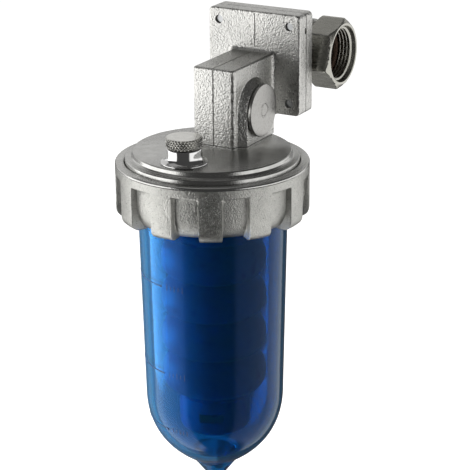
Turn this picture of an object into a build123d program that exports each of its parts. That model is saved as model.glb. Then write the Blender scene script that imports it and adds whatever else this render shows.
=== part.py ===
from build123d import *
import math
import os

# Boiler water dosing filter: an orientable four-screw flange carries a head
# casting; a graduated see-through bowl hangs below the head, held by a lugged
# clamp ring, with a ribbed refill inside. Millimetres, +Z up.
# Working frame: Z is the bowl axis, z = 0 is the clamp ring's top face, the
# pipe runs along X behind the head. Every solid is moved to the row frame at
# the end: origin on the pipe axis, in the middle of the union nut's thread.

os.makedirs("parts", exist_ok=True)

# ---------------------------------------------------------------- dimensions
PIPE_Y = 74.0            # pipe axis behind the bowl axis
PIPE_Z = 37.7            # pipe axis above the clamp ring's top face
NUT_X0, NUT_X1 = 18.2, 32.0      # union nut, back and end face
THREAD_X1 = 29.8         # outer end of the nut's thread
ORIGIN_X = 27.15         # the row frame's origin, inside the nut's thread
NUT_AF = 30.8            # across flats of the G3/4 union nut
NUT_TURN = 12.6          # hex orientation about the pipe axis, degrees
G34_MINOR_R = 12.06      # G3/4 internal thread, crest radius
G34_MAJOR_R = 13.22      # G3/4 external thread, crest radius
THREAD_X0 = 23.3         # inner end of the nut's thread
PIPE_BORE_R = 9.0
BARREL_R = 15.5
BARREL_X0, BARREL_X1 = -17.0, 15.5
STUB_X = -32.0           # end of the male stub
TAIL_R = 10.3

PLATE_W, PLATE_H = 24.75, 24.67  # half width, half height of the flange
PLATE_ZC = 37.7
PLATE_Y0, PLATE_Y1 = 41.0, 54.7  # front face, back face
GASKET_T = 0.5
PLATE_T = (PLATE_Y1 - PLATE_Y0 - GASKET_T) / 2
BOLT_X, BOLT_Z = 19.03, 18.77    # half spacings of the four M5 screws

BLOCK_XL, BLOCK_W = -11.6, 10.4  # left and right faces of the head's neck block
BLOCK_Y0 = 2.7
BLOCK_Z1 = 42.7
BOSS_Y, BOSS_Z, BOSS_X = 20.3, 20.5, 14.4
BOSS_W, BOSS_FOOT = 12.25, 14.9  # half width at the boss face, at its foot
CAP_R, CAP_X = 12.6, 16.6        # round side plug
CHAMBER_R = 6.0

LID_R, LID_Z = 37.6, 4.93
STEP_R, STEP_Z = 41.2, 2.0
HEAD_FACE_Z = -13.0      # face that presses on the bowl
SPIGOT_R, CAVITY_R, SPIGOT_Z = 30.7, 29.2, -23.5
SOCKET_R, SOCKET_RO, SOCKET_Z0, SOCKET_Z1 = 11.3, 15.2, -5.0, -23.0

VENT_X, VENT_Y = 0.0, -25.7
VENT_BASE_R, VENT_NECK_R, VENT_CAP_R = 10.9, 8.25, 8.5
VENT_NECK_Z, VENT_CAP_Z0, VENT_CAP_Z1 = 12.3, 12.65, 17.5

RING_R, RING_RI = 45.8, 41.6
RING_H = 27.0
LUGS, LUG_W, LUG_A0 = 12, 11.5, -61.5    # count, width, first lug's angle
WINDOW_Z, WINDOW_R = -6.0, 43.1

BOWL_WALL = 3.0
BOWL_FLANGE_R, BOWL_TOP_Z, BOWL_FLANGE_T = 39.6, -13.2, 3.7
NOSE_Z = -163.0

RIB_R, NOTCH_R, RIB_PITCH, NOTCH_Z0 = 25.3, 18.6, 19.5, -37.6
FOOT_R, FOOT_Z0, FOOT_Z1 = 17.4, -117.4, -136.5


def polar(r, a):
    return (r * math.cos(math.radians(a)), r * math.sin(math.radians(a)))


def turned(points, centre=(0, 0)):
    """A solid of revolution about a vertical axis from (r, z) points."""
    wire = Polyline(*[(r, 0, z) for r, z in points], close=True)
    return Pos(centre[0], centre[1], 0) * revolve(make_face(wire), Axis.Z)


def turned_x(points, y, z):
    """A solid of revolution about an axis along X from (x, r) points."""
    wire = Polyline(*[(x, r, 0) for x, r in points], close=True)
    return Pos(0, y, z) * revolve(make_face(wire), Axis.X)


def block(x0, x1, y0, y1, z0, z1):
    return Pos((x0 + x1) / 2, (y0 + y1) / 2, (z0 + z1) / 2) * Box(x1 - x0, y1 - y0, z1 - z0)


def rod_z(r, x, y, z0, z1):
    return Pos(x, y, (z0 + z1) / 2) * Cylinder(r, z1 - z0)


def rod_y(r, x, z, y0, y1):
    return Pos(x, (y0 + y1) / 2, z) * Rot(90, 0, 0) * Cylinder(r, y1 - y0)


def rod_x(r, y, z, x0, x1):
    return Pos((x0 + x1) / 2, y, z) * Rot(0, 90, 0) * Cylinder(r, x1 - x0)


def tube_x(ro, ri, y, z, x0, x1):
    return rod_x(ro, y, z, x0, x1) - rod_x(ri, y, z, x0 - 1, x1 + 1)


def arc_points(cx, cz, r, a0, a1, n=6):
    return [(cx + r * math.cos(math.radians(a0 + (a1 - a0) * i / n)),
             cz + r * math.sin(math.radians(a0 + (a1 - a0) * i / n))) for i in range(n + 1)]


nodes = {}
bolts = [(sx * BOLT_X, PLATE_ZC + sz * BOLT_Z) for sx in (-1, 1) for sz in (-1, 1)]
front_y1 = PLATE_Y0 + PLATE_T
rear_y0 = front_y1 + GASKET_T


def flange_plate(y0, y1, corner, w=PLATE_W, h=PLATE_H):
    s = Plane.XZ * RectangleRounded(2 * w, 2 * h, corner)
    return Pos(0, y1, PLATE_ZC) * extrude(s, y1 - y0)


# ------------------------------------------------------------- head casting
neck = block(BLOCK_XL, BLOCK_W, BLOCK_Y0, PLATE_Y0 + 1, 3.0, BLOCK_Z1)
front_edges = neck.edges().filter_by(Axis.Z).group_by(Axis.Y)[0]
neck = fillet(front_edges.sort_by(Axis.X)[-1], 2.0)
neck = fillet(neck.edges().filter_by(Axis.Z).group_by(Axis.Y)[0].sort_by(Axis.X)[0], 1.3)
neck = fillet([e for e in neck.edges() if abs(e.center().Z - BLOCK_Z1) < 0.01 and e.center().Y < PLATE_Y0], 1.1)
# drafted boss for the side plug: a cone above, straight sides below
boss_plan = Polyline((5, BOSS_Y - BOSS_FOOT, 3.0), (BLOCK_W, BOSS_Y - BOSS_FOOT, 3.0),
                     (BOSS_X, BOSS_Y - BOSS_W, 3.0), (BOSS_X, BOSS_Y + BOSS_W, 3.0),
                     (BLOCK_W, BOSS_Y + BOSS_FOOT, 3.0), (5, BOSS_Y + BOSS_FOOT, 3.0), close=True)
boss = (turned_x([(5, 0), (5, BOSS_FOOT), (BLOCK_W, BOSS_FOOT), (BOSS_X, BOSS_W), (BOSS_X, 0)], BOSS_Y, BOSS_Z)
        + extrude(make_face(boss_plan), BOSS_Z - 3.0, dir=(0, 0, 1)))
neck = neck + boss
root = [e for e in neck.edges()
        if abs(e.center().X - BLOCK_W) < 0.01
        and abs(e.position_at(0).X - BLOCK_W) < 0.01
        and BOSS_Y - BOSS_FOOT - 0.1 < e.center().Y < BOSS_Y + BOSS_FOOT + 0.1
        and 3.1 < e.center().Z < BLOCK_Z1 - 2]
for radius in (0.8, 0.5):
    try:
        neck = fillet(root, radius)
        break
    except Exception:
        print("boss foot left sharp", radius, len(root))
brow = [e for e in neck.edges()
        if abs(e.center().X - BOSS_X) < 0.01 and abs(e.position_at(0).X - BOSS_X) < 0.01
        and abs(e.position_at(0.5).X - BOSS_X) < 0.01 and e.center().Z > 3.1]
try:
    neck = fillet(brow, 0.4)
except Exception:
    print("boss brow left sharp", len(brow))
front = flange_plate(PLATE_Y0, front_y1, 2.4)
front = fillet(front.faces().sort_by(Axis.Y)[0].edges(), 0.9)
neck = neck + front
waist = [e for e in neck.edges()
         if abs(e.center().Y - PLATE_Y0) < 0.01 and BLOCK_XL - 0.1 < e.center().X < BLOCK_W + 0.1
         and 3.2 < e.center().Z < BLOCK_Z1 + 0.1
         and (abs(e.center().X - BLOCK_W) < 0.01 or abs(e.center().X - BLOCK_XL) < 0.01
              or abs(e.center().Z - BLOCK_Z1) < 0.01)]
try:
    neck = fillet(waist, 2.4)
except Exception:
    print("neck to flange left sharp")
lip = arc_points(LID_R - 0.7, LID_Z - 0.7, 0.7, 90, 0, 4)
cove = arc_points(LID_R + 1.5, STEP_Z + 1.5, 1.5, 180, 270, 5)
rim = arc_points(STEP_R - 0.5, STEP_Z - 0.5, 0.5, 90, 0, 3)
lid = turned([(0, LID_Z)] + lip + cove + rim + [
    (STEP_R, HEAD_FACE_Z), (SPIGOT_R, HEAD_FACE_Z), (SPIGOT_R, SPIGOT_Z),
    (CAVITY_R, SPIGOT_Z), (CAVITY_R, -2.0), (SOCKET_RO, -2.0),
    (SOCKET_RO, SOCKET_Z1), (SOCKET_R, SOCKET_Z1), (SOCKET_R, SOCKET_Z0),
    (0, SOCKET_Z0)])
head = lid + neck
foot_edges = [e for e in head.edges()
              if abs(e.center().Z - LID_Z) < 0.01 and abs(e.center().X) < BOSS_X + 3
              and BLOCK_Y0 - 0.5 < e.center().Y < PLATE_Y0 - 2]
for radius in (0.9, 0.5, 0.3):
    try:
        head = fillet(foot_edges, radius)
        break
    except Exception:
        print("neck foot left sharp", radius, len(foot_edges))
# mould parting groove round the neck and up the flange
groove = block(-1.15, -0.35, BLOCK_Y0 - 1, BLOCK_Y0 + 0.5, LID_Z + 0.6, BLOCK_Z1 - 0.8)
groove += block(-0.98, -0.42, BLOCK_Y0 + 0.5, PLATE_Y0 - 2.2, BLOCK_Z1 - 0.3, BLOCK_Z1 + 2)
groove += block(0.25, 0.85, PLATE_Y0 - 1, PLATE_Y0 + 0.35, BLOCK_Z1 + 2.2, PLATE_ZC + PLATE_H - 1)
# small notch in the flange's right edge, at the joint of the two plates
groove += block(PLATE_W - 1.2, PLATE_W + 1, front_y1 - 1.3, front_y1 + 1, 52.6, 55.4)
head = head - groove
for x, z in bolts:
    head = head - rod_y(2.1, x, z, PLATE_Y0 - 1, front_y1 + 1)
# raw water way into the head, product way out through the side chamber
head = head - rod_y(2.2, 5, 36, 29.8, front_y1 + 1) - rod_z(2.2, 5, 29.8, -9, 36)
head = head - rod_y(2.0, -4, BOSS_Z, 7, front_y1 - 1) - rod_z(2.5, -4, 7, SOCKET_Z0 - 1, BOSS_Z + 1)
head = head - block(-6, -2, front_y1 - 2, front_y1 + 1, 18, 32)
head = head - rod_x(CHAMBER_R, BOSS_Y, BOSS_Z, -8, BOSS_X + 1)
head = head - rod_z(5.0, VENT_X, VENT_Y, -3, LID_Z + 1)
head = head - (rod_z(7.7, VENT_X, VENT_Y, 3.9, LID_Z + 1) - rod_z(6.2, VENT_X, VENT_Y, 3.9, LID_Z + 1))
nodes["head_casting"] = head

# --------------------------------------------------------- rear connection
rear = flange_plate(rear_y0, PLATE_Y1, 2.4)
rear = fillet(rear.faces().sort_by(Axis.Y)[-1].edges(), 0.8)
bridge = block(-13, 13, PLATE_Y1 - 1, PIPE_Y, PIPE_Z - 13.5, PIPE_Z + 13.5)
bridge = fillet(bridge.edges().filter_by(Axis.Y), 4)
barrel = turned_x([(STUB_X, 0), (STUB_X, G34_MAJOR_R - 1.1), (STUB_X + 1.3, G34_MAJOR_R),
                   (-17.9, G34_MAJOR_R), (-17.9, 12.2), (BARREL_X0, 12.2),
                   (BARREL_X0, BARREL_R - 0.8), (BARREL_X0 + 0.8, BARREL_R),
                   (BARREL_X1 - 0.8, BARREL_R), (BARREL_X1, BARREL_R - 0.8), (BARREL_X1, 0)],
                  PIPE_Y, PIPE_Z)
conn = rear + bridge + barrel
conn = conn - rod_x(PIPE_BORE_R, PIPE_Y, PIPE_Z, STUB_X - 1, BARREL_X1 + 1)
conn = conn - rod_x(TAIL_R + 0.03, PIPE_Y, PIPE_Z, 8, BARREL_X1 + 1)
conn = conn - rod_y(2.2, 5, 36, rear_y0 - 1, PIPE_Y - 2) - rod_y(2.0, -4, 30, rear_y0 - 1, PIPE_Y - 2)
for x, z in bolts:
    conn = conn - rod_y(2.75, x, z, rear_y0 - 1, PLATE_Y1 + 1)
nodes["connection_block"] = conn

gasket = flange_plate(front_y1 + 0.02, rear_y0 - 0.02, 2.2, PLATE_W - 1.3, PLATE_H - 0.5)
for x, z in bolts:
    gasket = gasket - rod_y(2.9, x, z, PLATE_Y0, PLATE_Y1)
gasket = gasket - rod_y(2.5, 5, 36, PLATE_Y0, PLATE_Y1) - rod_y(2.3, -4, 30, PLATE_Y0, PLATE_Y1)
nodes["flange_gasket"] = gasket

screws, washers = [], []
for x, z in bolts:
    s = rod_y(2.05, x, z, PLATE_Y0 + 1.2, PLATE_Y1 + 1.2)
    s += rod_y(3.7, x, z, PLATE_Y1 + 0.72, PLATE_Y1 + 3.2)
    hexs = Pos(x, PLATE_Y1 + 4.0, z) * Rot(90, 0, 0) * extrude(RegularPolygon(1.96, 6), 2.4)
    screws.append(s - hexs)
    washers.append(rod_y(4.3, x, z, PLATE_Y1 + 0.01, PLATE_Y1 + 0.7)
                   - rod_y(2.65, x, z, PLATE_Y1 - 1, PLATE_Y1 + 2))
nodes["flange_screws"] = Compound(children=screws)
nodes["flange_washers"] = Compound(children=washers)

# ------------------------------------------------------------------- union
tail = turned_x([(8.02, PIPE_BORE_R), (8.02, TAIL_R), (10.4, TAIL_R), (10.4, TAIL_R - 0.75),
                 (12.0, TAIL_R - 0.75), (12.0, TAIL_R), (19.9, TAIL_R), (19.9, 11.75),
                 (21.6, 11.75), (21.6, PIPE_BORE_R)], PIPE_Y, PIPE_Z)
nodes["union_tail"] = tail
nodes["tail_seal"] = tube_x(TAIL_R, TAIL_R - 0.7, PIPE_Y, PIPE_Z, 10.5, 11.9)
nodes["union_washer"] = tube_x(11.6, 9.2, PIPE_Y, PIPE_Z, 21.62, 23.2)
vert_r = NUT_AF / math.sqrt(3)
hexa = Pos(NUT_X0, PIPE_Y, PIPE_Z) * Rot(0, 90, 0) * extrude(RegularPolygon(vert_r, 6), NUT_X1 - NUT_X0)
# vertex leaning from the vertical towards +Y
hexa = Pos(0, PIPE_Y, PIPE_Z) * Rot(-NUT_TURN, 0, 0) * Pos(0, -PIPE_Y, -PIPE_Z) * hexa
cone = turned_x([(NUT_X0, 0), (NUT_X0, NUT_AF / 2 + 1.4), (NUT_X0 + 0.7, vert_r + 0.2),
                 (NUT_X1 - 1.9, vert_r + 0.2), (NUT_X1, NUT_AF / 2 - 0.4), (NUT_X1, 0)],
                PIPE_Y, PIPE_Z)
nut = hexa & cone
nut = nut - turned_x([(NUT_X0 - 1, 0), (NUT_X0 - 1, TAIL_R + 0.35), (19.55, TAIL_R + 0.35),
                      (19.55, 12.6), (THREAD_X0, 12.6), (THREAD_X0, G34_MINOR_R),
                      (THREAD_X1, G34_MINOR_R), (THREAD_X1 + 0.2, 13.3), (NUT_X1, 13.9),
                      (NUT_X1 + 1, 13.9), (NUT_X1 + 1, 0)], PIPE_Y, PIPE_Z)
nodes["union_nut"] = nut

# --------------------------------------------------- side plug and metering
plug = turned_x([(4.0, 0), (4.0, CHAMBER_R - 0.6), (4.6, CHAMBER_R - 0.05),
                 (BOSS_X + 0.05, CHAMBER_R - 0.05), (BOSS_X + 0.05, 6.8), (15.55, 6.8), (15.55, 8.8),
                 (BOSS_X + 0.05, 8.8), (BOSS_X + 0.05, 11.4), (14.9, 11.4),
                 (14.9, CAP_R - 0.3), (15.15, CAP_R), (CAP_X - 0.3, CAP_R), (CAP_X, CAP_R - 0.3),
                 (CAP_X, 3.4), (CAP_X + 0.25, 3.2), (CAP_X + 0.25, 2.6), (CAP_X, 2.4), (CAP_X, 0)],
                BOSS_Y, BOSS_Z)
nodes["side_plug"] = plug
nodes["side_plug_seal"] = tube_x(8.7, 6.9, BOSS_Y, BOSS_Z, BOSS_X + 0.02, 15.5)
noz = turned_x([(-7.8, 0), (-7.8, 5.95), (-6.9, 5.95), (-6.9, 5.1), (-5.7, 5.1), (-5.7, 5.95),
                (-2.3, 5.95), (-2.3, 5.1), (-1.1, 5.1), (-1.1, 5.95), (3.8, 5.95), (3.8, 2.0),
                (0.5, 2.0), (0.5, 0)], BOSS_Y, BOSS_Z)
noz = noz - rod_y(0.9, -4, BOSS_Z, BOSS_Y - 7, BOSS_Y + 7)
nodes["dosing_nozzle"] = noz
nodes["nozzle_seals"] = Compound(children=[
    tube_x(5.98, 5.15, BOSS_Y, BOSS_Z, -6.85, -5.75),
    tube_x(5.98, 5.15, BOSS_Y, BOSS_Z, -2.25, -1.15)])
valve = turned([(1.2, -4.6), (2.45, -4.6), (2.45, -2.6), (2.0, -2.2), (1.5, 2.0), (0.5, 2.0), (1.2, -2.0)], (-4, 7))
nodes["check_valve"] = valve

# --------------------------------------------------------------------- vent
flare = arc_points(VENT_BASE_R + 0.5, 9.0, 3.15, 258, 180, 7)
vent = turned([(3.1, -1.9), (4.95, -1.9), (4.95, LID_Z + 0.02), (VENT_BASE_R - 0.3, LID_Z + 0.02),
               (VENT_BASE_R, LID_Z + 0.3), (VENT_BASE_R, 5.75)] + flare +
              [(VENT_NECK_R, 9.2), (VENT_NECK_R, VENT_NECK_Z - 0.5),
               (VENT_NECK_R - 0.5, VENT_NECK_Z), (3.1, VENT_NECK_Z)], (VENT_X, VENT_Y))
vent = vent - rod_y(0.8, VENT_X, 10.6, VENT_Y, VENT_Y + 12)
nodes["vent_body"] = vent
nodes["vent_body_seal"] = turned([(6.3, 3.95), (7.6, 3.95), (7.6, LID_Z), (6.3, LID_Z)], (VENT_X, VENT_Y))
nodes["vent_spindle"] = turned([(0, -3.2), (0.8, -3.2), (3.04, -0.9), (3.04, 6.6), (2.3, 6.6), (2.3, 8.0),
                                (3.04, 8.0), (3.04, 12.2), (2.0, 12.4), (2.0, 16.0), (0, 16.0)],
                               (VENT_X, VENT_Y))
nodes["vent_spindle_seal"] = turned([(2.35, 6.65), (3.04, 6.65), (3.04, 7.95), (2.35, 7.95)], (VENT_X, VENT_Y))
nodes["vent_cap"] = turned([(2.06, VENT_CAP_Z0), (VENT_CAP_R - 0.4, VENT_CAP_Z0), (VENT_CAP_R, VENT_CAP_Z0 + 0.4),
                            (VENT_CAP_R, VENT_CAP_Z1 - 0.5), (VENT_CAP_R - 0.5, VENT_CAP_Z1),
                            (0, VENT_CAP_Z1), (0, 16.2), (2.06, 16.2)], (VENT_X, VENT_Y))

# --------------------------------------------------------------- clamp ring
base = turned([(RING_RI, 0)] + arc_points(RING_R - 0.9, -0.9, 0.9, 90, 0, 4) +
              [(RING_R, WINDOW_Z + 0.4), (RING_R - 0.4, WINDOW_Z), (WINDOW_R, WINDOW_Z - 0.2),
               (WINDOW_R, -16.5), (42.7, -19.5), (41.5, -22.3), (39.6, -24.8), (37.6, -26.4),
               (36.9, -26.4), (36.3, -25.8), (36.3, -17.65), (RING_RI, -17.65)])
lug_profile = turned([(37.4, WINDOW_Z + 1.5), (RING_R - 0.02, WINDOW_Z + 1.5), (RING_R - 0.02, -RING_H + 4.5)] +
                     arc_points(RING_R - 4.52, -RING_H + 4.5, 4.5, 0, -90, 6) + [(37.4, -RING_H)])
lug_plan = Face(Wire(Polyline((36.5, -LUG_W / 2 + 0.6), (44.4, -LUG_W / 2), (45.4, -LUG_W / 2 + 0.5),
                              (46.4, -LUG_W / 2 + 1.7), (46.4, LUG_W / 2 - 1.7), (45.4, LUG_W / 2 - 0.5),
                              (44.4, LUG_W / 2), (36.5, LUG_W / 2 - 0.6), close=True)))
ring = base
one = (Pos(0, 0, -RING_H - 1) * extrude(lug_plan, RING_H)) & lug_profile
for k in range(LUGS):
    ring = ring + Rot(0, 0, LUG_A0 + 360.0 / LUGS * k) * one
ring = ring - rod_z(36.3, 0, 0, -RING_H - 2, -17.7) - rod_z(RING_RI, 0, 0, -17.65, 1)
nodes["clamp_ring"] = ring

# --------------------------------------------------------------------- bowl
dome = [(33.5, -117.6), (33.23, -122.29), (32.67, -126.0), (31.83, -129.46), (30.74, -132.7),
        (29.4, -135.71), (27.85, -138.53), (26.05, -141.16), (24.05, -143.61), (21.9, -145.91),
        (19.5, -148.07), (17.0, -150.09), (14.3, -152.0), (11.5, -153.85)]


def inside(points, t):
    out = []
    for i, (r, z) in enumerate(points):
        a = points[max(i - 1, 0)]
        b = points[min(i + 1, len(points) - 1)]
        dr, dz = b[0] - a[0], b[1] - a[1]
        n = math.hypot(dr, dz)
        out.append((r + dz / n * t, z - dr / n * t))
    return out


def bowl_inner():
    pts = inside(dome, BOWL_WALL)
    return [p for p in pts if p[0] > 8.6]


outer_edges = Polyline((31.2, 0, BOWL_TOP_Z), (BOWL_FLANGE_R, 0, BOWL_TOP_Z),
                       (BOWL_FLANGE_R, 0, BOWL_TOP_Z - BOWL_FLANGE_T),
                       (35.6, 0, BOWL_TOP_Z - BOWL_FLANGE_T), (35.4, 0, -30), (33.5, 0, -117.6))
dome_curve = Spline(*[(r, 0, z) for r, z in dome], tangents=((-0.02, 0, -1), (-0.83, 0, -0.56)))
nose = Polyline((11.5, 0, -153.85), (5.2, 0, NOSE_Z + 0.5), (4.5, 0, NOSE_Z), (0, 0, NOSE_Z))
inn = bowl_inner()
inner_curve = Spline(*[(r, 0, z) for r, z in inn])
rest = Polyline((0, 0, NOSE_Z), (0, 0, -157.8), (2.6, 0, -157.4), (7.6, 0, -152.6), (8.3, 0, -151.4),
                (inn[-1][0], 0, inn[-1][1]))
up = Polyline((inn[0][0], 0, inn[0][1]), (32.2, 0, -30), (31.2, 0, -25.5), (31.2, 0, BOWL_TOP_Z))
bowl = revolve(make_face([*outer_edges.edges(), *dome_curve.edges(), *nose.edges(), *rest.edges(),
                          *inner_curve.edges(), *up.edges()]), Axis.Z)
bowl = bowl - (rod_z(35.2, 0, 0, BOWL_TOP_Z - 2.4, BOWL_TOP_Z + 1) - rod_z(32.6, 0, 0, BOWL_TOP_Z - 2.4, BOWL_TOP_Z + 1))
nodes["bowl"] = bowl
nodes["bowl_seal"] = Pos(0, 0, BOWL_TOP_Z - 1.2) * Torus(33.9, 1.18)
nodes["slip_washer"] = turned([(36.4, -17.5), (39.5, -17.5), (39.5, -16.94), (36.4, -16.94)])

# ------------------------------------------------------------------- refill


def bellows_curve(t):
    """(r, z) points of the ribbed refill, t inside its outer skin."""
    pts = [(10.0 - t, -25.9), (19.5 - t, -26.9 - t * 0.9), (24.2 - t, -29.3 - t * 0.4), (24.4 - t, -33.0)]
    for k in range(4):
        zn = NOTCH_Z0 - RIB_PITCH * k
        pts += [(NOTCH_R - t, zn), (24.0 - t, zn - 4.2), (RIB_R - t, zn - RIB_PITCH / 2),
                (24.0 - t, zn - RIB_PITCH + 4.2)]
    pts += [(NOTCH_R - 1.2 - t, NOTCH_Z0 - 4 * RIB_PITCH)]
    return pts


po, pi = bellows_curve(0), bellows_curve(1.3)
co = Spline(*[(r, 0, z) for r, z in po])
ci = Spline(*[(r, 0, z) for r, z in pi])
zb = po[-1][1]
floor = Polyline((po[-1][0], 0, zb), (po[-1][0], 0, zb - 1.6), (0, 0, zb - 1.6), (0, 0, zb - 0.3),
                 (pi[-1][0], 0, zb - 0.3), (pi[-1][0], 0, zb))
lip2 = Line((pi[0][0], 0, -25.9), (po[0][0], 0, -25.9))
nodes["refill_bellows"] = revolve(make_face([*co.edges(), *floor.edges(), *ci.edges(), lip2]), Axis.Z)
nodes["refill_neck"] = turned([(5.0, -36.0), (8.6, -36.0), (8.6, -25.85), (13.8, -25.85), (13.8, -23.4),
                               (11.1, -23.4), (11.1, -15.2), (10.1, -15.2), (10.1, -13.4), (11.1, -13.4),
                               (11.1, -9.0), (10.5, -8.2), (5.0, -8.2)])
nodes["refill_seal"] = turned([(10.15, -15.1), (11.15, -15.1), (11.15, -13.5), (10.15, -13.5)])
nodes["dip_tube"] = turned([(3.4, -110.0), (4.9, -110.0), (4.9, -10.0), (3.4, -10.0)])
foot = turned([(0, FOOT_Z1)] + arc_points(FOOT_R - 4, FOOT_Z1 + 4, 4, -90, 0, 5) +
              [(FOOT_R, FOOT_Z0 - 0.6), (FOOT_R - 0.6, FOOT_Z0), (FOOT_R - 2.0, FOOT_Z0),
               (FOOT_R - 2.0, FOOT_Z1 + 4.5), (FOOT_R - 5.0, FOOT_Z1 + 2), (0, FOOT_Z1 + 2)])
slot = Rot(0, 0, -66) * (block(0, 30, -5.9, 5.9, -128.8, -124.0) + block(-30, 0, -5.9, 5.9, -128.8, -124.0))
nodes["refill_foot"] = foot - slot

# -------------------------------------------------------------------- write
place = Pos(-ORIGIN_X, -PIPE_Y, -PIPE_Z)
for name, shape in nodes.items():
    moved = place * shape
    export_step(moved, f"parts/{name}.step")
    print(name, round(moved.volume, 1), moved.is_valid)
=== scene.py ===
import math
import bpy
import bmesh
import numpy as np
from mathutils import Matrix, Vector, noise

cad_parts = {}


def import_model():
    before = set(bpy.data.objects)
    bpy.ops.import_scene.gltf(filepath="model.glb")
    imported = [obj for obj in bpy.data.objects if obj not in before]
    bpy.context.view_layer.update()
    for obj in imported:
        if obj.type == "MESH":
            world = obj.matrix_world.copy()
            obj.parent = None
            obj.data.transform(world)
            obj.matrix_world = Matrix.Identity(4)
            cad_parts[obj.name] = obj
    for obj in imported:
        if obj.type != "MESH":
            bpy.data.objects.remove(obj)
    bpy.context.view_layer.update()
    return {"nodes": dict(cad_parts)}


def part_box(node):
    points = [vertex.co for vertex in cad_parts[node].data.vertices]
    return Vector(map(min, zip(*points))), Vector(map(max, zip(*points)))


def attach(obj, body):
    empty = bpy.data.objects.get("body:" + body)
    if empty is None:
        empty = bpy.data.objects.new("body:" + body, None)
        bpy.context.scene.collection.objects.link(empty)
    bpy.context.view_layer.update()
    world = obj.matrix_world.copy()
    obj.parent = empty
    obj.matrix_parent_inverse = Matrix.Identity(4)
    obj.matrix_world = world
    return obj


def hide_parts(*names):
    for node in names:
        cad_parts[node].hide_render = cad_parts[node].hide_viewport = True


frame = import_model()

nodes = frame["nodes"]
MM = 0.001

# ------------------------------------------------------------ reference places
blo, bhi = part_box("bowl")
rlo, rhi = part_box("clamp_ring")
BX, BY, ZT = (blo.x + bhi.x) / 2, (blo.y + bhi.y) / 2, rhi.z      # bowl axis, ring top
vlo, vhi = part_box("vent_cap")
VX, VY = (vlo.x + vhi.x) / 2, (vlo.y + vhi.y) / 2
VCAP_R, VCAP_TOP = 8.5 * MM, ZT + 17.5 * MM
plo, phi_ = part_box("side_plug")
SY, SZ = (plo.y + phi_.y) / 2, (plo.z + phi_.z) / 2
nlo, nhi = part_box("union_nut")
head_lo, head_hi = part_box("head_casting")
LID = ZT + 4.93 * MM


def W(x, y, z):
    """bowl-axis millimetres to frame metres"""
    return Vector((BX + x * MM, BY + y * MM, ZT + z * MM))


# ------------------------------------------------------------------ materials
class Mat:
    def __init__(self, name):
        self.m = bpy.data.materials.new(name)
        self.m.use_nodes = True
        self.t = self.m.node_tree
        self.n = self.t.nodes
        self.p = self.n["Principled BSDF"]
        self.tc = self.n.new("ShaderNodeTexCoord")

    def link(self, a, b):
        self.t.links.new(a, b)

    def noise(self, scale, detail=3.0, rough=0.55, stretch=None, kind="FBM"):
        nd = self.n.new("ShaderNodeTexNoise")
        nd.inputs["Scale"].default_value = scale
        nd.inputs["Detail"].default_value = detail
        nd.inputs["Roughness"].default_value = rough
        src = self.tc.outputs["Object"]
        if stretch:
            mp = self.n.new("ShaderNodeMapping")
            mp.inputs["Scale"].default_value = stretch
            self.link(src, mp.inputs["Vector"])
            src = mp.outputs["Vector"]
        self.link(src, nd.inputs["Vector"])
        return nd.outputs["Fac"]

    def voro(self, scale, feature="F1"):
        nd = self.n.new("ShaderNodeTexVoronoi")
        nd.feature = feature
        nd.inputs["Scale"].default_value = scale
        self.link(self.tc.outputs["Object"], nd.inputs["Vector"])
        return nd.outputs["Distance"]

    def math(self, op, a, b=None, c=None, clamp=False):
        nd = self.n.new("ShaderNodeMath")
        nd.operation = op
        nd.use_clamp = clamp
        for i, v in enumerate((a, b, c)):
            if v is None:
                continue
            if isinstance(v, (int, float)):
                nd.inputs[i].default_value = v
            else:
                self.link(v, nd.inputs[i])
        return nd.outputs[0]

    def ramp(self, fac, stops):
        nd = self.n.new("ShaderNodeValToRGB")
        e = nd.color_ramp.elements
        while len(e) > 1:
            e.remove(e[-1])
        e[0].position = stops[0][0]
        e[0].color = (*stops[0][1], 1)
        for pos, col in stops[1:]:
            k = e.new(pos)
            k.color = (*col, 1)
        self.link(fac, nd.inputs["Fac"])
        return nd.outputs["Color"]

    def mix(self, fac, a, b):
        nd = self.n.new("ShaderNodeMix")
        nd.data_type = "RGBA"
        if isinstance(fac, (int, float)):
            nd.inputs[0].default_value = fac
        else:
            self.link(fac, nd.inputs[0])
        for sock, v in ((nd.inputs[6], a), (nd.inputs[7], b)):
            if isinstance(v, tuple):
                sock.default_value = (*v, 1)
            else:
                self.link(v, sock)
        return nd.outputs[2]

    def bump(self, height, strength, dist, normal=None):
        nd = self.n.new("ShaderNodeBump")
        nd.inputs["Strength"].default_value = strength
        nd.inputs["Distance"].default_value = dist
        self.link(height, nd.inputs["Height"])
        if normal is not None:
            self.link(normal, nd.inputs["Normal"])
        return nd.outputs["Normal"]

    def xyz(self):
        nd = self.n.new("ShaderNodeSeparateXYZ")
        self.link(self.tc.outputs["Object"], nd.inputs[0])
        return nd.outputs

    def maprange(self, v, a, b, c=0.0, d=1.0):
        nd = self.n.new("ShaderNodeMapRange")
        self.link(v, nd.inputs[0])
        for i, x in enumerate((a, b, c, d)):
            nd.inputs[i + 1].default_value = x
        return nd.outputs[0]

    def set(self, **kw):
        for k, v in kw.items():
            s = self.p.inputs[k.replace("_", " ")]
            if isinstance(v, (int, float)):
                s.default_value = v
            elif isinstance(v, tuple):
                s.default_value = (*v, 1)
            else:
                self.link(v, s)
        return self


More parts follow.
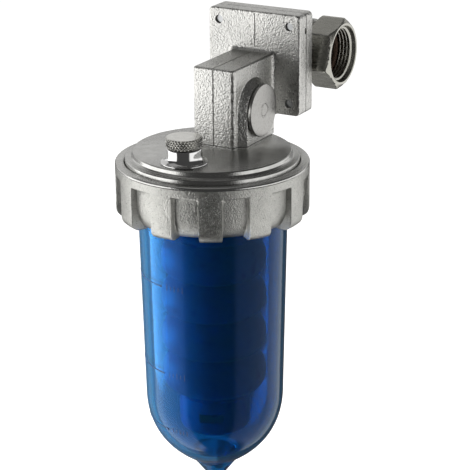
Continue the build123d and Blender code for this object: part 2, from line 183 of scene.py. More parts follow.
def cast_nickel(name, dark=(0.48, 0.48, 0.465), light=(0.76, 0.755, 0.73), smooth_below=None, smooth_above=None, grain=1.0, rough=0.18, size=1.0):
    """Nickel over a sand-cast skin; the turned faces stay satin."""
    m = Mat(name)
    big = m.noise(60, 3)
    mid = m.noise(1180 / size, 1, 0.5)
    fine = m.noise(2600, 2, 0.6)
    pits = m.noise(420, 2, 0.5)
    grit = m.math("ADD", m.math("MULTIPLY", mid, 0.85), m.math("ADD", m.math("MULTIPLY", fine, 0.22), m.math("MULTIPLY", pits, 0.40)))
    x, y, z = m.xyz()
    mask = None
    if smooth_below is not None:
        mask = m.maprange(z, smooth_below, smooth_below + 0.0004)
    if smooth_above is not None:
        mask = m.maprange(z, smooth_above, smooth_above - 0.0004)
    tone = m.ramp(m.math("ADD", m.math("MULTIPLY", big, 0.40), m.math("MULTIPLY", grit, 0.55)),
                  [(0.36, dark), (0.78, light)])
    turned = m.ramp(m.noise(260, 2), [(0.3, (0.52, 0.52, 0.505)), (0.7, (0.60, 0.60, 0.585))])
    rough_cast = m.math("ADD", rough, m.math("MULTIPLY", grit, 0.16))
    dx = m.math("SUBTRACT", x, BX)
    dy = m.math("SUBTRACT", y, BY)
    rad = m.math("SQRT", m.math("ADD", m.math("MULTIPLY", dx, dx), m.math("MULTIPLY", dy, dy)))
    rings = m.math("SINE", m.math("MULTIPLY", m.math("ADD", rad, m.math("MULTIPLY", m.noise(8, 2), 0.0006)), 15000.0))
    rough_turn = m.math("ADD", 0.13, m.math("MULTIPLY", m.noise(150, 3), 0.12))
    turn_h = m.math("ADD", m.math("MULTIPLY", rings, 0.05), m.math("MULTIPLY", m.noise(1400, 3, 0.6), 0.16))
    if mask is not None:
        inv = m.math("SUBTRACT", 1.0, mask)
        col = m.mix(mask, turned, tone)
        r = m.math("ADD", m.math("MULTIPLY", mask, rough_cast), m.math("MULTIPLY", inv, rough_turn))
        h = m.math("ADD", m.math("MULTIPLY", grit, mask), m.math("MULTIPLY", turn_h, inv))
    else:
        col, r, h = tone, rough_cast, grit
    m.set(Base_Color=col, Metallic=1.0, Roughness=r, Normal=m.bump(h, 1.0, 0.00038 * grain))
    return m.m


def satin_metal(name, a, b, rough=(0.22, 0.36), stretch=None, grain=0.12, scale=500):
    m = Mat(name)
    f = m.noise(scale, 4, 0.6, stretch)
    g = m.noise(90, 2)
    m.set(Base_Color=m.ramp(m.math("ADD", m.math("MULTIPLY", f, 0.6), m.math("MULTIPLY", g, 0.4)), [(0.3, a), (0.7, b)]),
          Metallic=1.0, Roughness=m.maprange(f, 0.3, 0.7, *rough), Normal=m.bump(f, grain, 0.00008))
    return m.m


def turned_face(name, a, b, cy, cz, rough=(0.25, 0.38)):
    """concentric turning marks round an axis along X"""
    m = Mat(name)
    x, y, z = m.xyz()
    dy = m.math("SUBTRACT", y, cy)
    dz = m.math("SUBTRACT", z, cz)
    r = m.math("SQRT", m.math("ADD", m.math("MULTIPLY", dy, dy), m.math("MULTIPLY", dz, dz)))
    rings = m.math("SINE", m.math("MULTIPLY", r, 14000.0))
    f = m.noise(700, 4, 0.65)
    mixf = m.math("ADD", m.math("MULTIPLY", rings, 0.12), f)
    m.set(Base_Color=m.ramp(mixf, [(0.3, a), (0.7, b)]), Metallic=1.0,
          Roughness=m.maprange(f, 0.3, 0.7, *rough), Normal=m.bump(mixf, 0.22, 0.0001))
    return m.m


def plastic(name, a, b, rough=(0.35, 0.5), scale=300, sss=0.0, coat=0.0, grain=0.1):
    m = Mat(name)
    f = m.noise(scale, 3)
    m.set(Base_Color=m.ramp(f, [(0.3, a), (0.7, b)]), Roughness=m.maprange(f, 0.3, 0.7, *rough),
          Normal=m.bump(f, grain, 0.0001))
    m.p.inputs["Coat Weight"].default_value = coat
    return m.m


def blue_glass(name):
    m = Mat(name)
    streak = m.noise(60, 3, 0.5, (1.0, 1.0, 0.06))
    col = m.ramp(streak, [(0.3, (0.045, 0.36, 0.68)), (0.7, (0.06, 0.41, 0.73))])
    m.set(Base_Color=col, Metallic=0.0, Roughness=m.maprange(m.noise(40, 2), 0.3, 0.7, 0.015, 0.05))
    m.p.inputs["Transmission Weight"].default_value = 0.87
    m.p.inputs["IOR"].default_value = 1.47
    m.p.inputs["Specular IOR Level"].default_value = 0.30
    m.p.inputs["Specular Tint"].default_value = (0.12, 0.20, 0.55, 1)
    wav = m.noise(28, 1, 0.4, (1.0, 1.0, 0.25))
    m.link(m.bump(wav, 0.06, 0.0006), m.p.inputs["Normal"])
    va = m.n.new("ShaderNodeVolumeAbsorption")
    va.inputs["Color"].default_value = (0.10, 0.62, 0.80, 1)
    va.inputs["Density"].default_value = 160.0
    m.link(va.outputs[0], m.n["Material Output"].inputs["Volume"])
    return m.m


def knurled_metal(name):
    """Satin chrome; the grooves of the knurl are painted near-black as shade, while the crests, the top and the foot
    keep the bright chrome.
    """
    m = Mat(name)
    x, y, z = m.xyz()
    dx = m.math("SUBTRACT", x, VX)
    dy = m.math("SUBTRACT", y, VY)
    rad = m.math("SQRT", m.math("ADD", m.math("MULTIPLY", dx, dx), m.math("MULTIPLY", dy, dy)))
    # radius that splits the bright crests from the painted groove shade; the noise wobbles that edge
    shade_edge_rad = m.math("ADD", rad, m.math("MULTIPLY", m.noise(900, 2), 0.00006))
    high = m.maprange(shade_edge_rad, VCAP_R - 0.00061, VCAP_R - 0.00045)
    top = m.maprange(z, VCAP_TOP - 0.0003, VCAP_TOP - 0.0001)
    bottom = m.maprange(rad, VCAP_R - 0.0010, VCAP_R - 0.0013)
    mask = m.math("MAXIMUM", m.math("MAXIMUM", high, top), bottom)
    light = m.ramp(m.noise(300, 3), [(0.3, (0.74, 0.735, 0.70)), (0.7, (0.84, 0.835, 0.80))])
    # painted shade: a near-black metal colour in the knurl grooves stands in for the shadow that falls there
    groove_shade = m.ramp(m.noise(700, 2), [(0.3, (0.10, 0.095, 0.08)), (0.7, (0.18, 0.17, 0.14))])
    rough = m.math("SUBTRACT", 0.42, m.math("MULTIPLY", mask, 0.22))
    m.set(Base_Color=m.mix(mask, groove_shade, light), Metallic=1.0, Roughness=rough, Normal=m.bump(m.noise(1500, 3), 0.5, 0.00003))
    return m.m


M = {
    "head": cast_nickel("nickel_cast_head", smooth_below=LID + 0.0003, size=0.88),
    "conn": cast_nickel("nickel_cast_rear"),
    "ring": cast_nickel("nickel_cast_ring", (0.34, 0.34, 0.325), (0.60, 0.60, 0.57), smooth_above=ZT - 0.0012, grain=0.95, rough=0.19, size=0.72),
    "nut": satin_metal("nickel_turned_nut", (0.46, 0.455, 0.41), (0.60, 0.59, 0.545), (0.20, 0.34), (0.35, 5.0, 5.0), grain=0.25),
    "tail": satin_metal("nickel_turned_tail", (0.50, 0.49, 0.46), (0.62, 0.61, 0.58), (0.18, 0.3)),
    "plug": turned_face("nickel_faced_plug", (0.36, 0.355, 0.34), (0.50, 0.495, 0.48), SY, SZ),
    "chrome": satin_metal("chrome_bright", (0.74, 0.74, 0.74), (0.80, 0.80, 0.80), (0.05, 0.10), grain=0.02),
    "cap": knurled_metal("chrome_knurled"),
    "brass": satin_metal("brass_turned", (0.60, 0.44, 0.20), (0.72, 0.56, 0.28), (0.2, 0.3)),
    "steel": satin_metal("steel_zinc", (0.40, 0.41, 0.42), (0.55, 0.56, 0.57), (0.25, 0.4)),
    "rubber": plastic("rubber_black", (0.018, 0.018, 0.018), (0.035, 0.035, 0.034), (0.55, 0.75)),
    "fibre": plastic("fibre_brown", (0.075, 0.045, 0.03), (0.13, 0.08, 0.055), (0.7, 0.85), 900, grain=0.4),
    "white": plastic("plastic_white", (0.72, 0.72, 0.69), (0.80, 0.80, 0.77), (0.35, 0.45)),
    "refill": plastic("refill_blown_plastic", (0.10, 0.17, 0.52), (0.13, 0.21, 0.60), (0.25, 0.4), 120, coat=0.2, grain=0.15),
    "refdark": plastic("refill_moulded_plastic", (0.03, 0.04, 0.08), (0.05, 0.06, 0.11), (0.4, 0.5)),
    "bowl": blue_glass("bowl_blue_clear"),
    "marks": plastic("bowl_mark_blue", (0.010, 0.035, 0.12), (0.018, 0.05, 0.16), (0.25, 0.35)),
}


# ------------------------------------------------------------------ mesh tools
def obj(name, verts, faces, mat, smooth=True, angle=None):
    me = bpy.data.meshes.new(name)
    me.from_pydata([tuple(v) for v in verts], [], faces)
    me.validate()
    o = bpy.data.objects.new(name, me)
    bpy.context.scene.collection.objects.link(o)
    me.materials.append(mat)
    bm = bmesh.new()
    bm.from_mesh(me)
    bmesh.ops.recalc_face_normals(bm, faces=bm.faces)
    bm.to_mesh(me)
    bm.free()
    for p in me.polygons:
        p.use_smooth = smooth
    if angle:
        me.set_sharp_from_angle(angle=math.radians(angle))
    return o


def grid(rows, cols, point, wrap_rows=True):
    """closed grid: point(i, j) for row i (round the section) and column j (round the axis)"""
    verts = [point(i, j) for i in range(rows) for j in range(cols)]
    faces = []
    for i in range(rows if wrap_rows else rows - 1):
        for j in range(cols):
            a, b = i * cols + j, i * cols + (j + 1) % cols
            c, d = ((i + 1) % rows) * cols + (j + 1) % cols, ((i + 1) % rows) * cols + j
            faces.append((a, b, c, d))
    return verts, faces


def lathe(name, profile, mat, centre=(0, 0), segs=160, angle=35):
    """profile: (r, z) in bowl-axis mm; ends on the axis when r is 0, otherwise closed on itself"""
    closed = profile[0][0] > 1e-6
    pts = profile if closed else profile[1:-1]
    verts, faces = grid(len(pts), segs, lambda i, j: W(
        centre[0] + pts[i][0] * math.cos(2 * math.pi * j / segs),
        centre[1] + pts[i][0] * math.sin(2 * math.pi * j / segs), pts[i][1]), closed)
    if not closed:
        for end, row in ((0, 0), (-1, len(pts) - 1)):
            verts.append(W(centre[0], centre[1], profile[end][1]))
            k = len(verts) - 1
            for j in range(segs):
                faces.append((row * segs + j, row * segs + (j + 1) % segs, k))
    return obj(name, verts, faces, mat, True, angle)


def lathe_x(name, profile, mat, cy, cz, segs=128, angle=35):
    """profile: (x, r) in bowl-axis mm x; axis along X at frame (cy, cz)"""
    closed = profile[0][1] > 1e-6
    pts = profile if closed else profile[1:-1]
    def at(x, r, j):
        a = 2 * math.pi * j / segs
        return Vector((BX + x * MM, cy + r * MM * math.cos(a), cz + r * MM * math.sin(a)))
    verts, faces = grid(len(pts), segs, lambda i, j: at(pts[i][0], pts[i][1], j), closed)
    if not closed:
        for end, row in ((0, 0), (-1, len(pts) - 1)):
            verts.append(at(profile[end][0], 0, 0))
            k = len(verts) - 1
            for j in range(segs):
                faces.append((row * segs + j, row * segs + (j + 1) % segs, k))
    return obj(name, verts, faces, mat, True, angle)


def cad_copy(node, mat, bevel=None, angle=30, name=None):
    src = nodes[node]
    me = src.data.copy()
    o = bpy.data.objects.new(name or node + "_finish", me)
    bpy.context.scene.collection.objects.link(o)
    bm = bmesh.new()
    bm.from_mesh(me)
    bmesh.ops.remove_doubles(bm, verts=bm.verts, dist=2e-6)
    bmesh.ops.dissolve_degenerate(bm, edges=bm.edges, dist=1e-6)
    bmesh.ops.recalc_face_normals(bm, faces=bm.faces)
    bm.to_mesh(me)
    bm.free()
    me.materials.clear()
    me.materials.append(mat)
    for p in me.polygons:
        p.use_smooth = True
        p.material_index = 0
    if me.has_custom_normals:
        bpy.context.view_layer.objects.active = o
        for other in bpy.context.selected_objects:
            other.select_set(False)
        o.select_set(True)
        bpy.ops.mesh.customdata_custom_splitnormals_clear()
        o.select_set(False)
    me.set_sharp_from_angle(angle=math.radians(angle))
    if bevel:
        b = o.modifiers.new("edge", "BEVEL")
        b.width = bevel * MM
        b.segments = 2
        b.limit_method = "ANGLE"
        b.angle_limit = math.radians(40)
        b.harden_normals = False
    return o


def arc(cx, cz, r, a0, a1, n):
    return [(cx + r * math.cos(math.radians(a0 + (a1 - a0) * i / n)),
             cz + r * math.sin(math.radians(a0 + (a1 - a0) * i / n))) for i in range(n + 1)]


def smooth(t):
    t = max(0.0, min(1.0, t))
    return t * t * (3 - 2 * t)


def done(o, body, slot, *replaced):
    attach(o, body)
    if replaced:
        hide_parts(*replaced)
    return o


# -------------------------------------------------------------------- camera
cam_data = bpy.data.cameras.new("camera")
cam = bpy.data.objects.new("camera", cam_data)
bpy.context.scene.collection.objects.link(cam)
az, el, roll = math.radians(29.251), math.radians(19.573), math.radians(0.405)
back = Vector((math.sin(az) * math.cos(el), -math.cos(az) * math.cos(el), math.sin(el)))
right = Vector((math.cos(az), math.sin(az), 0))
up = back.cross(right)
r2 = math.cos(roll) * right - math.sin(roll) * up
u2 = math.sin(roll) * right + math.cos(roll) * up
place = (10.641 * r2 - 35.975 * u2 + 868.1 * back)
cam.matrix_world = Matrix.Translation(W(*place)) @ Matrix((r2, u2, back)).transposed().to_4x4()
cam_data.sensor_width = 36.0
cam_data.lens = 2.128 * 868.1 / 470 * 36
cam_data.clip_start, cam_data.clip_end = 0.05, 30
bpy.context.scene.camera = cam

# ---------------------------------------------------------------- clamp ring
def clamp_ring():
    lug_a0, lugs, half = -61.5, 12, 7.2
    n_side = 26
    L, Wn = [], []
    # shared top: inner edge, flat, rounded outer edge
    top = [(41.62, -0.25), (41.85, 0.0), (43.0, 0.0), (44.9, 0.0)] + arc(44.9, -0.9, 0.9, 80, 0, 6)
    # lug side and rounded foot; window wall that curves in under the ring
    lug = [(45.8, -1.6), (45.8, -3.2), (45.8, -4.6), (45.8, -5.3), (45.8, -5.55), (45.8, -5.75), (45.8, -6.0),
           (45.8, -6.3), (45.8, -6.7), (45.8, -8.5), (45.8, -11.0), (45.8, -13.5), (45.8, -16.5), (45.8, -19.5)]
    win = [(45.8, -1.6), (45.8, -3.2), (45.8, -4.6), (45.75, -5.2), (45.55, -5.55), (45.2, -5.8), (44.4, -5.95),
           (43.5, -6.15), (43.1, -6.7), (43.1, -8.5), (43.1, -11.0), (43.1, -13.5), (43.05, -16.3), (42.6, -19.2)]
    lug += arc(41.3, -22.5, 4.5, 0, -90, 8) + [(40.0, -27.0), (38.6, -27.0), (37.6, -26.9), (37.0, -26.6)]
    win += [(42.2, -20.6), (41.7, -21.8), (41.1, -22.8), (40.4, -23.8), (39.7, -24.6), (39.0, -25.25), (38.4, -25.75),
            (37.9, -26.1), (37.5, -26.3)] + [(37.2, -26.42), (37.0, -26.45), (36.8, -26.42), (36.6, -26.3)]
    inner = [(36.3, -25.8), (36.3, -22.0), (36.3, -17.9), (36.5, -17.65), (39.0, -17.65), (41.4, -17.65), (41.6, -17.4),
             (41.6, -12.0), (41.6, -5.0), (41.6, -1.0)]
    P = top + lug + inner
    Q = top + win + inner
    offs = [-half - 0.55, -half - 0.40, -half - 0.22, -half - 0.05, -half + 0.12, -half + 0.30, -half + 0.5, -half + 0.8, -half + 1.2,
            -5.0, -3.6, -1.8, 0, 1.8, 3.6, 5.0,
            half - 1.2, half - 0.8, half - 0.5, half - 0.30, half - 0.12, half + 0.05, half + 0.22, half + 0.40, half + 0.55,
            9.2, 11.0, 13.0, 15.0, 17.0, 19.0, 20.8]
    angles = []
    for k in range(lugs):
        angles += [lug_a0 + 30.0 * k + a for a in offs]
    def mask(a):
        d = (a - lug_a0 + 15) % 30 - 15
        return smooth((half + 0.55 - abs(d)) / 1.05)
    def point(i, j):
        a = angles[j]
        m = mask(a)
        # the lug's crown is rounded off towards its two sides
        r = m * P[i][0] + (1 - m) * Q[i][0]
        z = m * P[i][1] + (1 - m) * Q[i][1]
        t = math.radians(a)
        return W(r * math.cos(t), r * math.sin(t), z)
    verts, faces = grid(len(P), len(angles), point)
    return obj("clamp_ring_shell", verts, faces, M["ring"], True, 50)


done(clamp_ring(), "clamp_ring", "cast_nickel", "clamp_ring")

# ---------------------------------------------------------------------- bowl
dome = [(33.5, -117.6), (33.42, -120.0), (33.23, -122.29), (32.98, -124.2), (32.67, -126.0), (32.28, -127.8), (31.83, -129.46),
        (31.31, -131.1), (30.74, -132.7), (30.1, -134.2), (29.4, -135.71), (28.66, -137.15), (27.85, -138.53), (26.98, -139.87),
        (26.05, -141.16), (25.08, -142.4), (24.05, -143.61), (23.0, -144.78), (21.9, -145.91), (20.72, -147.0), (19.5, -148.07),
        (18.27, -149.1), (17.0, -150.09), (15.68, -151.05), (14.3, -152.0), (12.6, -153.1)]


def bowl():
    outer = [(31.4, -13.2), (39.2, -13.2), (39.6, -13.6), (39.6, -16.5), (39.2, -16.9), (35.9, -16.9), (35.6, -17.3)]
    outer += [(35.6 - 0.2 * (i / 3), -17.3 - 12.7 * (i + 1) / 4) for i in range(4)]
    outer += [(35.4 - 1.9 * (i + 1) / 24, -30 - 87.6 * (i + 1) / 24) for i in range(23)]
    outer += dome
    outer += [(11.9, -153.6), (11.35, -154.1), (10.9, -154.75), (9.0, -157.2), (7.0, -159.9), (5.4, -162.0), (5.0, -162.6), (4.5, -162.9), (3.9, -163.0), (0, -163.0)]
    n = []
    for i, (r, z) in enumerate(dome):
        a, b = dome[max(i - 1, 0)], dome[min(i + 1, len(dome) - 1)]
        dr, dz = b[0] - a[0], b[1] - a[1]
        q = math.hypot(dr, dz)
        n.append((r + dz / q * 3.0, z - dr / q * 3.0))
    n = [p for p in n if p[0] > 9.0]
    inner = [(0, -157.8), (2.0, -157.6), (2.9, -157.1), (4.6, -155.5), (6.2, -154.0), (7.5, -152.7), (8.1, -151.9), (8.5, -151.0), (9.0, n[-1][1] - 0.25)]
    inner += n[::-1]
    inner += [(30.5 + 1.7 * (i + 1) / 24, -117.6 + 87.6 * (i + 1) / 24) for i in range(24)]
    inner += [(32.1, -28.5), (31.9, -27.2), (31.5, -26.0), (31.3, -25.2), (31.2, -24.0), (31.2, -20.0), (31.2, -16.0), (31.2, -13.4)]
    segs = 224
    prof = outer + inner
    # two axis points: build as one open profile from outer bottom to the mouth and back down to the inner bottom
    loop = outer[:-1][::-1]
    prof = [(0, -163.0)] + loop + inner[1:][::-1] + [(0, -157.8)]
    return lathe("bowl_shell", prof, M["bowl"], (0, 0), segs, 40)


done(bowl(), "bowl", "blue_clear_plastic", "bowl")


def bowl_r(z):
    if z > -30:
        return 35.5
    if z > -117.6:
        return 35.4 - 1.9 * (-30 - z) / 87.6
    for (r0, z0), (r1, z1) in zip(dome, dome[1:]):
        if z0 >= z >= z1:
            return r0 + (r1 - r0) * (z - z0) / (z1 - z0)
    return 12


def level_marks():
    """raised level lines with an end bead, and short plain ticks beside them"""
    verts, faces = [], []
    def strip(points, halfw, height):
        """points: (angle, z); a low ridge that hugs the bowl"""
        base = len(verts)
        for k, (a, z) in enumerate(points):
            a0, z0 = points[max(k - 1, 0)]
            a1, z1 = points[min(k + 1, len(points) - 1)]
            r = bowl_r(z)
            t = Vector(((a1 - a0) * math.pi / 180 * r, z1 - z0, 0)).normalized()
            nx, nz = -t.y, t.x
            for s, h in ((-1, -0.12), (-0.6, height), (0.6, height), (1, -0.12)):
                zz = z + nz * s * halfw
                aa = a + nx * s * halfw / r * 180 / math.pi
                rr = bowl_r(zz) + h
                verts.append(W(rr * math.cos(math.radians(aa)), rr * math.sin(math.radians(aa)), zz))
        n = len(points)
        for k in range(n - 1):
            for s in range(4):
                a, b = base + k * 4 + s, base + k * 4 + (s + 1) % 4
                faces.append((a, b, b + 4, a + 4))
        faces.append(tuple(base + s for s in range(4)))
        faces.append(tuple(base + (n - 1) * 4 + s for s in range(3, -1, -1)))
    def bead(a, z, rad):
        base = len(verts)
        r = bowl_r(z)
        rings = [(1.0, -0.12), (0.95, 0.12), (0.6, 0.3), (0.2, 0.38)]
        for q, h in rings:
            for k in range(16):
                u = 2 * math.pi * k / 16
                zz = z + rad * q * math.sin(u)
                aa = a + rad * q * math.cos(u) / r * 180 / math.pi
                rr = bowl_r(zz) + h
                verts.append(W(rr * math.cos(math.radians(aa)), rr * math.sin(math.radians(aa)), zz))
        for i in range(len(rings) - 1):
            for k in range(16):
                a_, b_ = base + i * 16 + k, base + i * 16 + (k + 1) % 16
                faces.append((a_, b_, b_ + 16, a_ + 16))
        faces.append(tuple(base + k for k in range(15, -1, -1)))
        faces.append(tuple(base + (len(rings) - 1) * 16 + k for k in range(16)))
    for z in (-54.4, -98.9, -128.8):
        strip([(-162 + i * 56.5 / 24, z) for i in range(25)], 0.28, 0.16)
        bead(-105.2, z, 0.62)
        # plain ticks where a caption would stand
        for k, (a, h) in enumerate(((-99, 3.0), (-95.5, 1.8), (-92, 3.0), (-88.5, 1.8), (-85, 3.0))):
            strip([(a, z - h / 2 + h * i / 6) for i in range(7)], 0.2, 0.10)
    return obj("bowl_level_marks", verts, faces, M["marks"], True, 40)


done(level_marks(), "bowl", "blue_clear_plastic")

# -------------------------------------------------------------------- refill
def bellows(t):
    """ribs with soft crests and narrow notches"""
    pts = [(10.0 - t, -25.9 - t * 0.3)]
    pts += [(15.0 - t, -26.1 - t), (20.0 - t, -26.9 - t * 0.9), (23.0 - t * 0.95, -28.3 - t * 0.6), (24.2 - t, -30.2 - t * 0.2), (24.3 - t, -32.5), (23.0 - t, -35.0), (20.6 - t, -36.8)]
    for k in range(4):
        zn = -37.6 - 19.5 * k
        prof = [(18.6, 0), (20.6, 0.9), (22.6, 2.2), (24.0, 4.0), (24.9, 6.2), (25.25, 8.4), (25.3, 9.75), (25.25, 11.1), (24.9, 13.3), (24.0, 15.5), (22.6, 17.3), (20.6, 18.6)]
        pts += [(r - t, zn - d) for r, d in prof]
    pts += [(17.4 - t, -115.6)]
    return pts


def refill():
    po, pi = bellows(0), bellows(1.3)
    prof = po + [(17.2, -116.6), (17.0, -117.2)]
    prof = prof + [(0, -117.2)]
    inner = [(0, -115.9)] + [(15.9, -115.9)] + pi[::-1][1:]
    full = [(0, -117.2)] + prof[:-1][::-1] + pi[:-1] + [(15.9, -115.9), (0, -115.9)]
    return lathe("refill_skin", full, M["refill"], (0, 0), 160, 60)


done(refill(), "refill", "refill_plastic", "refill_bellows")

# ------------------------------------------------------------------ union nut
def union_nut():
    x0, x1 = nlo.x, nhi.x
    cy, cz = 0.0, 0.0
    af = 15.4 * MM
    vr = af / math.cos(math.pi / 6)
    turn = math.radians(12.6)
    seg_side = 24
    cols = 6 * seg_side
    pitch, crest, root = 1.814 * MM, 12.06 * MM, 13.2 * MM
    xs = []
    outer = [x0 + (x1 - x0) * k / 14 for k in range(15)]
    outer = sorted(set(outer + [x0 + 0.0003, x0 + 0.0006, x1 - 0.0020, x1 - 0.0016, x1 - 0.0013, x1 - 0.0007, x1 - 0.0003]))
    th0, th1 = BX + 23.3 * MM, BX + 30.0 * MM
    n_th = 64
    rows = []
    for x in outer:
        rows.append(("hex", x))
    rows.append(("face", x1, af - 0.0009))
    rows.append(("face", x1, 14.1 * MM))
    rows.append(("face", x1 - 0.00012, 13.9 * MM))
    rows.append(("face", x1 - 0.0011, 13.6 * MM))
    for k in range(n_th + 1):
        rows.append(("thread", th1 - (th1 - th0) * k / n_th))
    rows += [("face", BX + 23.25 * MM, 12.6 * MM), ("face", BX + 21.0 * MM, 12.6 * MM), ("face", BX + 19.55 * MM, 12.6 * MM),
             ("face", BX + 19.5 * MM, 11.5 * MM), ("face", BX + 19.5 * MM, 10.7 * MM), ("face", x0 + 0.0003, 10.7 * MM),
             ("face", x0, 11.0 * MM), ("face", x0, af - 0.0006)]
    def hexr(a, x):
        # flat sided with small radius on the corners; both ends turned to a cone
        b = (a + math.pi / 6) % (math.pi / 3) - math.pi / 6
        r = af / math.cos(b)
        r = min(r, vr - 0.00025 * smooth((abs(b) - math.radians(26)) / math.radians(4)))
        cone = min(af + 0.0014 + (x - x0) * 1.5, af - 0.0004 + (x1 - x) * 1.40)
        return min(r, cone)
    def point(i, j):
        a = 2 * math.pi * j / cols + turn
        kind = rows[i][0]
        x = rows[i][1]
        # angle measured from +Z towards +Y
        hexa = 2 * math.pi * j / cols - math.pi / 6
        if kind == "hex":
            r = hexr(hexa, x)
        elif kind == "thread":
            ph = (x / pitch + j / cols) % 1.0
            tri = abs(ph * 2 - 1)
            tooth = smooth(min(1, max(0, (tri - 0.12) / 0.76)))
            fade = smooth((th1 - x) / 0.0006)
            r = crest + (root - crest) * tooth
            r = r * fade + (13.3 * MM) * (1 - fade)
        else:
            r = rows[i][2]
        return Vector((x, cy + r * math.sin(a), cz + r * math.cos(a)))
    verts, faces = grid(len(rows), cols, point)
    return obj("union_nut_threaded", verts, faces, M["nut"], True, 32)


done(union_nut(), "union_nut", "turned_nickel", "union_nut")

# ----------------------------------------------------------------------- vent
flare = arc(11.4, 9.0, 3.15, 258, 182, 14)
vent = [(3.1, -1.9), (4.95, -1.9), (4.95, 4.95), (10.3, 4.95), (10.7, 5.0), (10.9, 5.2), (10.95, 5.5), (10.9, 5.75), (10.8, 5.87)] + flare + \
       [(8.25, 9.6), (8.25, 10.8), (8.25, 11.7), (8.15, 12.1), (7.85, 12.3), (7.3, 12.3), (3.1, 12.3)]
done(lathe("vent_collar", vent, M["chrome"], (VX / MM - BX / MM, VY / MM - BY / MM), 160, 50), "head", "chrome", "vent_body")


def knurled_cap():
    z0, z1 = 12.65, 17.5
    R = 8.5
    teeth, cols = 32, 32 * 16
    rows = []
    rows += [(2.06, 16.2), (2.06, z0 + 0.2), (2.3, z0), (6.9, z0), (7.9, z0 + 0.02)]
    side0 = len(rows)
    n = 44
    side = [(R, z0 + 0.25 + (z1 - z0 - 0.65) * k / n) for k in range(n + 1)]
    rows += side
    side1 = len(rows)
    rows += [(8.1, z1 - 0.12), (7.9, z1), (7.4, z1 + 0.0), (4.0, z1 + 0.0)]
    cx, cy = VX / MM - BX / MM, VY / MM - BY / MM
    pitch = 2 * math.pi * R / teeth
    def point(i, j):
        r, z = rows[i]
        a = 2 * math.pi * j / cols
        if side0 <= i < side1:
            s = a * R
            u = (s + z * 0.85) / pitch
            v = (s - z * 0.85) / pitch
            g = max(abs((u % 1) * 2 - 1), abs((v % 1) * 2 - 1))
            e = min(1.0, (i - side0) / 3, (side1 - 1 - i) / 3)
            d = (1 - g) * 0.85
            r = R - 0.62 + min(d, 0.62) * (0.45 + 0.55 * e) - (1 - e) * 0.05
        return W(cx + r * math.cos(a), cy + r * math.sin(a), z)
    verts, faces = grid(len(rows), cols, point, False)
    for row, z in ((0, 16.2), (len(rows) - 1, z1)):
        verts.append(W(cx, cy, z))
        k = len(verts) - 1
        for j in range(cols):
            faces.append((row * cols + j, row * cols + (j + 1) % cols, k))
    return obj("vent_cap_knurled", verts, faces, M["cap"], True, 38)


done(knurled_cap(), "vent_cap", "chrome", "vent_cap")

# ------------------------------------------------------------------ side plug
XB = 14.45
plug = [(4.0, 0), (4.0, 5.4), (4.6, 5.95), (XB, 5.95), (XB, 6.8), (15.55, 6.8), (15.55, 8.8), (XB, 8.8), (XB, 11.4), (14.9, 11.4),
        (14.9, 12.1), (14.95, 12.38), (15.08, 12.54), (15.25, 12.6), (16.3, 12.6), (16.48, 12.55), (16.57, 12.42), (16.6, 12.2), (16.6, 11.0), (16.6, 8.0),
        (16.6, 5.0), (16.6, 3.6), (16.62, 3.44), (16.7, 3.3), (16.8, 3.12), (16.85, 2.95), (16.8, 2.76), (16.7, 2.6), (16.63, 2.48), (16.6, 2.3), (16.6, 1.2), (16.6, 0)]
done(lathe_x("side_plug_faced", plug, M["plug"], SY, SZ, 160, 40), "head", "turned_nickel", "side_plug")

# ------------------------------------------------------- head and rear casting
done(cad_copy("head_casting", M["head"], None, 28), "head", "cast_nickel", "head_casting")


done(cad_copy("connection_block", M["conn"], None, 28), "head", "cast_nickel", "connection_block")

# ------------------------------------------------------------- carried nodes
carried = {
    "flange_gasket": "rubber", "flange_screws": "steel", "flange_washers": "steel", "union_tail": "tail", "tail_seal": "rubber",
    "union_washer": "fibre", "side_plug_seal": "rubber", "dosing_nozzle": "white", "nozzle_seals": "rubber", "check_valve": "rubber",
    "vent_body_seal": "rubber", "vent_spindle": "brass", "vent_spindle_seal": "rubber", "slip_washer": "white", "bowl_seal": "rubber",
    "refill_neck": "refdark", "refill_seal": "rubber", "dip_tube": "refdark", "refill_foot": "refill",
}
for name, key in carried.items():
    o = nodes[name]
    if not o.material_slots:
        o.data.materials.append(M[key])
    for s in o.material_slots:
        s.material = M[key]
for name in nodes:
    if name not in carried:
        key = {"head_casting": "head", "connection_block": "conn", "clamp_ring": "ring", "bowl": "bowl", "refill_bellows": "refill",
               "union_nut": "nut", "vent_body": "chrome", "vent_cap": "cap", "side_plug": "plug"}.get(name)
        if key:
            for s in nodes[name].material_slots:
                s.material = M[key]

# ----------------------------------------------------------------- the studio
floor_z = blo.z - 0.215
fm = bpy.data.materials.new("studio_floor")
fm.use_nodes = True
ft = fm.node_tree
fp = ft.nodes["Principled BSDF"]
fn = ft.nodes.new("ShaderNodeTexNoise")
fn.inputs["Scale"].default_value = 3.0
fr = ft.nodes.new("ShaderNodeValToRGB")
fr.color_ramp.elements[0].color = (0.80, 0.80, 0.80, 1)
fr.color_ramp.elements[1].color = (0.84, 0.84, 0.84, 1)
ft.links.new(fn.outputs["Fac"], fr.inputs["Fac"])
ft.links.new(fr.outputs["Color"], fp.inputs["Base Color"])
fp.inputs["Roughness"].default_value = 0.9
fp.inputs["Emission Color"].default_value = (1, 1, 1, 1)
fp.inputs["Emission Strength"].default_value = 0.84
fme = bpy.data.meshes.new("floor")
fme.from_pydata([(-6, -6, floor_z), (6, -6, floor_z), (6, 6, floor_z), (-6, 6, floor_z)], [], [(0, 1, 2, 3)])
fme.materials.append(fm)
floor = bpy.data.objects.new("floor", fme)
bpy.context.scene.collection.objects.link(floor)
floor.visible_glossy = False
floor.visible_transmission = False
floor.visible_diffuse = False

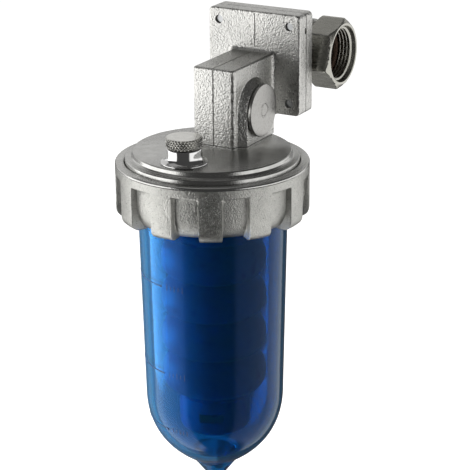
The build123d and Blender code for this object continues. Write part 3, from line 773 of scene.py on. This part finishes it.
world = bpy.data.worlds.new("studio")
bpy.context.scene.world = world
world.use_nodes = True
wt = world.node_tree
wn = wt.nodes
wtc = wn.new("ShaderNodeTexCoord")
sep = wn.new("ShaderNodeSeparateXYZ")
wt.links.new(wtc.outputs["Generated"], sep.inputs[0])
flat = wn.new("ShaderNodeCombineXYZ")
wt.links.new(sep.outputs[0], flat.inputs[0])
wt.links.new(sep.outputs[1], flat.inputs[1])
unit = wn.new("ShaderNodeVectorMath")
unit.operation = "NORMALIZE"
wt.links.new(flat.outputs[0], unit.inputs[0])


def wmath(op, a, b=None, clamp=False):
    nd = wn.new("ShaderNodeMath")
    nd.operation = op
    nd.use_clamp = clamp
    for i, v in enumerate((a, b)):
        if v is None:
            continue
        if isinstance(v, (int, float)):
            nd.inputs[i].default_value = v
        else:
            wt.links.new(v, nd.inputs[i])
    return nd.outputs[0]


def wstep(v, a, b):
    nd = wn.new("ShaderNodeMapRange")
    nd.interpolation_type = "SMOOTHSTEP"
    wt.links.new(v, nd.inputs[0])
    nd.inputs[1].default_value = a
    nd.inputs[2].default_value = b
    return nd.outputs[0]


def softbox(az, half, soft, el0, el1, level):
    """a soft panel all round the object: azimuth, half width, edge, lowest and highest elevation in degrees"""
    d = wn.new("ShaderNodeVectorMath")
    d.operation = "DOT_PRODUCT"
    wt.links.new(unit.outputs[0], d.inputs[0])
    d.inputs[1].default_value = (math.cos(math.radians(az)), math.sin(math.radians(az)), 0)
    side = wstep(d.outputs["Value"], math.cos(math.radians(half + soft)), math.cos(math.radians(half)))
    low = wstep(sep.outputs[2], math.sin(math.radians(el0 - 8)), math.sin(math.radians(el0)))
    high = wstep(sep.outputs[2], math.sin(math.radians(el1 + 10)), math.sin(math.radians(el1)))
    return wmath("MULTIPLY", wmath("MULTIPLY", side, wmath("MULTIPLY", low, high)), level)


BOXES = [
    (217, 30, 9, -75, 10, 1.75),      # left panel
    (178, 20, 9, -75, 10, 0.30),      # left panel, falling off to the back
    (133, 42, 14, 5, 34, 0.60),       # behind, left and a little up
    (160, 60, 20, 48, 80, 0.28),      # overhead
]
RIGHT = [
    (5, 24, 12, -60, 12, 1.05),       # right panel
    (58, 16, 9, -60, 10, 1.05),       # behind, right
]
BACKDROP = [
    (154, 33, 4, -70, 1, 0.52),
    (98, 21, 6, -70, 1, 0.12),        # falling off to the right
]


def boxes(rows):
    t = None
    for b in rows:
        f = softbox(*b)
        t = f if t is None else wmath("ADD", t, f)
    return t


lp = wn.new("ShaderNodeLightPath")
seen = wmath("ADD", wmath("MULTIPLY", lp.outputs["Is Transmission Ray"], 0.75), 0.25)
less = wmath("SUBTRACT", 1.0, wmath("MULTIPLY", lp.outputs["Is Transmission Ray"], 0.85))
total = wmath("ADD", wmath("ADD", boxes(BOXES), wmath("MULTIPLY", boxes(BACKDROP), seen)), 0.06)
total = wmath("ADD", total, wmath("MULTIPLY", boxes(RIGHT), less))
bg = wn["Background"]
bg.inputs["Color"].default_value = (1.0, 0.995, 0.985, 1)
wt.links.new(total, bg.inputs["Strength"])
bgc = wn.new("ShaderNodeBackground")
bgc.inputs["Color"].default_value = (1, 1, 1, 1)
bgc.inputs["Strength"].default_value = 1.0
mx = wn.new("ShaderNodeMixShader")
wt.links.new(lp.outputs["Is Camera Ray"], mx.inputs[0])
wt.links.new(bg.outputs[0], mx.inputs[1])
wt.links.new(bgc.outputs[0], mx.inputs[2])
wt.links.new(mx.outputs[0], wn["World Output"].inputs["Surface"])

centre = W(0, 10, -50)


def area(name, direction, dist, size, power, colour=(1, 1, 1)):
    ld = bpy.data.lights.new(name, "AREA")
    ld.shape = "RECTANGLE"
    ld.size, ld.size_y = size
    ld.energy = power
    ld.color = colour
    o = bpy.data.objects.new(name, ld)
    d = Vector(direction).normalized()
    o.location = centre + d * dist
    o.rotation_mode = "QUATERNION"
    o.rotation_quaternion = d.to_track_quat("Z", "Y")
    bpy.context.scene.collection.objects.link(o)
    return o


key = area("key_left", (-0.96, -0.28, 0.02), 1.2, (0.8, 1.3), 46, (1.0, 0.99, 0.97))
key.visible_glossy = False

vs = bpy.context.scene.view_settings
vs.view_transform = "Standard"
vs.look = "None"
vs.exposure = 0.0
vs.gamma = 1.0
